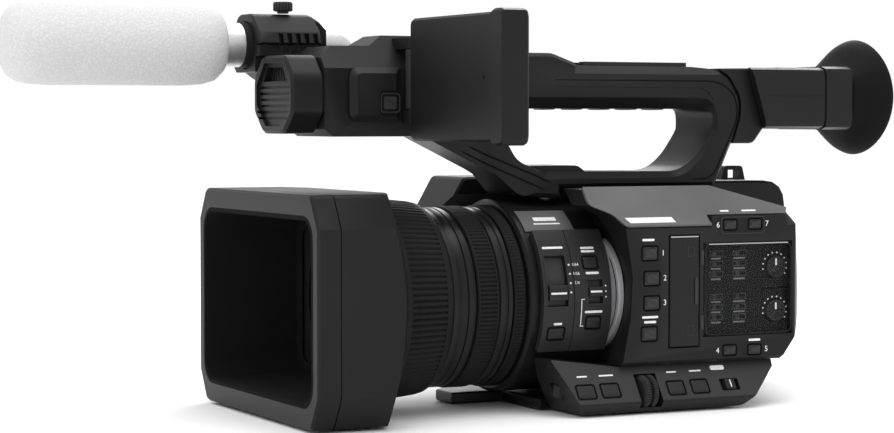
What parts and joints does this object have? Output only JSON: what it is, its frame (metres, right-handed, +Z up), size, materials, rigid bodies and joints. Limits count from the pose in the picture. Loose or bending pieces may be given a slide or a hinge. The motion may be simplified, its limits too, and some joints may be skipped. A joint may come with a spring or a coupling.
{
  "type": "camcorder",
  "caption": "Handheld camcorder: square lens hood, three lens rings, top carrying handle, open side monitor, rear viewfinder with eyecup, and a front microphone in a foam windscreen.",
  "frame": {"origin": "middle of the flat tripod face under the body, between its two screw sockets", "axes": "+Z up, -Y the way the lens looks, +X the operator's left (the monitor side)"},
  "size_m": [0.2062, 0.4125, 0.1766],
  "materials": {
    "charcoal_shell": "fine satin texture",
    "grey_flank": "satin grey",
    "dark_panel": "fine satin texture",
    "button_plastic": "smooth satin",
    "grip_rubber": "matte",
    "strap_fabric": "woven webbing with padded lining",
    "smoked_plastic": "smoked, gloss",
    "optical_glass": "coated",
    "screen_glass": "gloss",
    "foam": "open-cell foam",
    "microphone_metal": "bead-blasted",
    "bright_trim": "brushed satin",
    "steel": "brushed",
    "circuit": "solder mask",
    "record_red": "gloss"
  },
  "bodies": {
    "camera_body": {"lens_hood": "charcoal_shell", "lens_barrel": "charcoal_shell", "front_lens_element": "optical_glass", "barrel_housing": "charcoal_shell", "barrel_panel": "dark_panel", "bezel_trim": "bright_trim", "left_cover": "charcoal_shell", "top_flank": "grey_flank", "right_cover": "charcoal_shell", "image_sensor_block": "steel", "main_circuit_board": "circuit", "tripod_plate": "steel", "control_strip": "dark_panel", "hand_grip": "charcoal_shell", "hand_strap": "strap_fabric", "handle_frame": "charcoal_shell", "accessory_shoe": "steel", "handle_front_housing": "charcoal_shell", "microphone_head": "charcoal_shell", "viewfinder_mount": "charcoal_shell", "microphone_holder": "charcoal_shell", "microphone": "microphone_metal", "windscreen": "foam"},
    "focus_ring": {"focus_ring": "grip_rubber"},
    "zoom_ring": {"zoom_ring": "grip_rubber"},
    "iris_ring": {"iris_ring": "grip_rubber"},
    "nd_filter_slider": {"nd_filter_slider": "button_plastic"},
    "focus_mode_switch": {"focus_mode_switch": "button_plastic"},
    "iris_button": {"iris_button": "button_plastic"},
    "focus_assist_button": {"focus_assist_button": "button_plastic"},
    "push_auto_button": {"push_auto_button": "button_plastic"},
    "user_button_1": {"user_button_1": "button_plastic"},
    "user_button_2": {"user_button_2": "button_plastic"},
    "user_button_3": {"user_button_3": "button_plastic"},
    "display_button": {"display_button": "button_plastic"},
    "user_button_4": {"user_button_4": "button_plastic"},
    "user_button_5": {"user_button_5": "button_plastic"},
    "user_button_6": {"user_button_6": "button_plastic"},
    "user_button_7": {"user_button_7": "button_plastic"},
    "gain_button": {"gain_button": "button_plastic"},
    "white_balance_button": {"white_balance_button": "button_plastic"},
    "menu_button": {"menu_button": "button_plastic"},
    "shutter_button": {"shutter_button": "button_plastic"},
    "auto_white_balance_button": {"auto_white_balance_button": "button_plastic"},
    "grip_record_button": {"grip_record_button": "record_red"},
    "menu_dial": {"menu_dial": "button_plastic"},
    "auto_manual_switch": {"auto_manual_switch": "button_plastic"},
    "sd_card_door": {"sd_card_door": "dark_panel"},
    "audio_cover": {"audio_cover": "smoked_plastic"},
    "audio_level_knob_1": {"audio_level_knob_1": "button_plastic"},
    "audio_level_knob_2": {"audio_level_knob_2": "button_plastic"},
    "battery": {"battery": "dark_panel"},
    "grip_zoom_rocker": {"grip_zoom_rocker": "button_plastic"},
    "monitor_hinge": {"monitor_hinge": "dark_panel"},
    "monitor": {"monitor_housing": "charcoal_shell", "monitor_screen": "screen_glass"},
    "viewfinder": {"viewfinder_housing": "charcoal_shell", "eyecup": "grip_rubber"},
    "microphone_clamp": {"microphone_clamp": "charcoal_shell"},
    "clamp_screw": {"clamp_screw": "button_plastic"}
  },
  "joints": [
    {"name": "focus_ring_turn", "type": "hinge", "parent": "camera_body", "child": "focus_ring", "pos_m": [0, -0.0885, 0.048], "axis": [0, 1, 0], "continuous": true},
    {"name": "zoom_ring_turn", "type": "hinge", "parent": "camera_body", "child": "zoom_ring", "pos_m": [0, -0.0595, 0.048], "axis": [0, 1, 0], "range_deg": [-45, 45]},
    {"name": "iris_ring_turn", "type": "hinge", "parent": "camera_body", "child": "iris_ring", "pos_m": [0, -0.0443, 0.048], "axis": [0, 1, 0], "continuous": true},
    {"name": "nd_filter_slide", "type": "hinge", "parent": "camera_body", "child": "nd_filter_slider", "pos_m": [0, -0.0296, 0.048], "axis": [0, -1, 0], "range_deg": [0, 15]},
    {"name": "focus_mode_slide", "type": "hinge", "parent": "camera_body", "child": "focus_mode_switch", "pos_m": [0, -0.0113, 0.048], "axis": [0, -1, 0], "range_deg": [-3, 3]},
    {"name": "iris_press", "type": "slide", "parent": "camera_body", "child": "iris_button", "axis": [-0.9511, 0, 0.309], "range_m": [0, 0.0007], "stiffness_N_per_m": 200},
    {"name": "focus_assist_press", "type": "slide", "parent": "camera_body", "child": "focus_assist_button", "axis": [-0.9367, 0, -0.3502], "range_m": [0, 0.0007], "stiffness_N_per_m": 200},
    {"name": "push_auto_press", "type": "slide", "parent": "camera_body", "child": "push_auto_button", "axis": [-0.9763, 0, 0.2164], "range_m": [0, 0.0007], "stiffness_N_per_m": 200},
    {"name": "user_button_1_press", "type": "slide", "parent": "camera_body", "child": "user_button_1", "axis": [-1, 0, 0], "range_m": [0, 0.0007], "stiffness_N_per_m": 200},
    {"name": "user_button_2_press", "type": "slide", "parent": "camera_body", "child": "user_button_2", "axis": [-1, 0, 0], "range_m": [0, 0.0007], "stiffness_N_per_m": 200},
    {"name": "user_button_3_press", "type": "slide", "parent": "camera_body", "child": "user_button_3", "axis": [-1, 0, 0], "range_m": [0, 0.0007], "stiffness_N_per_m": 200},
    {"name": "display_press", "type": "slide", "parent": "camera_body", "child": "display_button", "axis": [-1, 0, 0], "range_m": [0, 0.0007], "stiffness_N_per_m": 200},
    {"name": "user_button_4_press", "type": "slide", "parent": "camera_body", "child": "user_button_4", "axis": [-1, 0, 0], "range_m": [0, 0.0007], "stiffness_N_per_m": 200},
    {"name": "user_button_5_press", "type": "slide", "parent": "camera_body", "child": "user_button_5", "axis": [-1, 0, 0], "range_m": [0, 0.0007], "stiffness_N_per_m": 200},
    {"name": "user_button_6_press", "type": "slide", "parent": "camera_body", "child": "user_button_6", "axis": [-1, 0, 0], "range_m": [0, 0.0007], "stiffness_N_per_m": 200},
    {"name": "user_button_7_press", "type": "slide", "parent": "camera_body", "child": "user_button_7", "axis": [-1, 0, 0], "range_m": [0, 0.0007], "stiffness_N_per_m": 200},
    {"name": "gain_press", "type": "slide", "parent": "camera_body", "child": "gain_button", "axis": [-0.8283, 0, -0.5603], "range_m": [0, 0.0007], "stiffness_N_per_m": 200},
    {"name": "white_balance_press", "type": "slide", "parent": "camera_body", "child": "white_balance_button", "axis": [-0.8283, 0, -0.5603], "range_m": [0, 0.0007], "stiffness_N_per_m": 200},
    {"name": "menu_press", "type": "slide", "parent": "camera_body", "child": "menu_button", "axis": [-0.8283, 0, -0.5603], "range_m": [0, 0.0007], "stiffness_N_per_m": 200},
    {"name": "shutter_press", "type": "slide", "parent": "camera_body", "child": "shutter_button", "axis": [-0.8283, 0, -0.5603], "range_m": [0, 0.0007], "stiffness_N_per_m": 200},
    {"name": "auto_white_balance_press", "type": "slide", "parent": "camera_body", "child": "auto_white_balance_button", "axis": [0, 1, 0], "range_m": [0, 0.0007], "stiffness_N_per_m": 200},
    {"name": "grip_record_press", "type": "slide", "parent": "camera_body", "child": "grip_record_button", "axis": [0, -1, 0], "range_m": [0, 0.0007], "stiffness_N_per_m": 200},
    {"name": "menu_dial_turn", "type": "hinge", "parent": "camera_body", "child": "menu_dial", "pos_m": [0.0573, 0.0066, 0.0086], "axis": [0, 1, 0], "continuous": true},
    {"name": "auto_manual_slide", "type": "slide", "parent": "camera_body", "child": "auto_manual_switch", "axis": [0, 1, 0], "range_m": [-0.002, 0.002]},
    {"name": "sd_card_door_swing", "type": "hinge", "parent": "camera_body", "child": "sd_card_door", "pos_m": [0.0582, 0.0183, 0.0513], "axis": [0, 0, -1], "range_deg": [0, 110]},
    {"name": "audio_cover_swing", "type": "hinge", "parent": "camera_body", "child": "audio_cover", "pos_m": [0.0582, 0.036, 0.0516], "axis": [0, 0, -1], "range_deg": [0, 120]},
    {"name": "audio_level_1_turn", "type": "hinge", "parent": "camera_body", "child": "audio_level_knob_1", "pos_m": [0.0541, 0.0746, 0.0606], "axis": [1, 0, 0], "range_deg": [-140, 140]},
    {"name": "audio_level_2_turn", "type": "hinge", "parent": "camera_body", "child": "audio_level_knob_2", "pos_m": [0.0541, 0.0746, 0.0411], "axis": [1, 0, 0], "range_deg": [-140, 140]},
    {"name": "battery_slide", "type": "slide", "parent": "camera_body", "child": "battery", "axis": [0, 1, 0], "range_m": [0, 0.02]},
    {"name": "grip_zoom_rock", "type": "hinge", "parent": "camera_body", "child": "grip_zoom_rocker", "pos_m": [-0.0537, 0.028, 0.0835], "axis": [1, 0, 0], "range_deg": [-4, 4], "stiffness_Nm_per_rad": 0.3},
    {"name": "monitor_open", "type": "hinge", "parent": "camera_body", "child": "monitor_hinge", "pos_m": [0.025, -0.0868, 0.1421], "axis": [0, 0, 1], "range_deg": [0, 90]},
    {"name": "monitor_tilt", "type": "hinge", "parent": "monitor_hinge", "child": "monitor", "pos_m": [0.03, -0.0868, 0.1421], "axis": [1, 0, 0], "range_deg": [-90, 180]},
    {"name": "viewfinder_tilt", "type": "hinge", "parent": "camera_body", "child": "viewfinder", "pos_m": [0, 0.09, 0.141], "axis": [1, 0, 0], "range_deg": [0, 80]},
    {"name": "microphone_clamp_open", "type": "hinge", "parent": "camera_body", "child": "microphone_clamp", "pos_m": [-0.051, -0.1235, 0.1578], "axis": [0, -1, 0], "range_deg": [0, 60]},
    {"name": "clamp_screw_turn", "type": "hinge", "parent": "microphone_clamp", "child": "clamp_screw", "pos_m": [-0.031, -0.1246, 0.174], "axis": [0, 0, 1], "continuous": true}
  ]
}
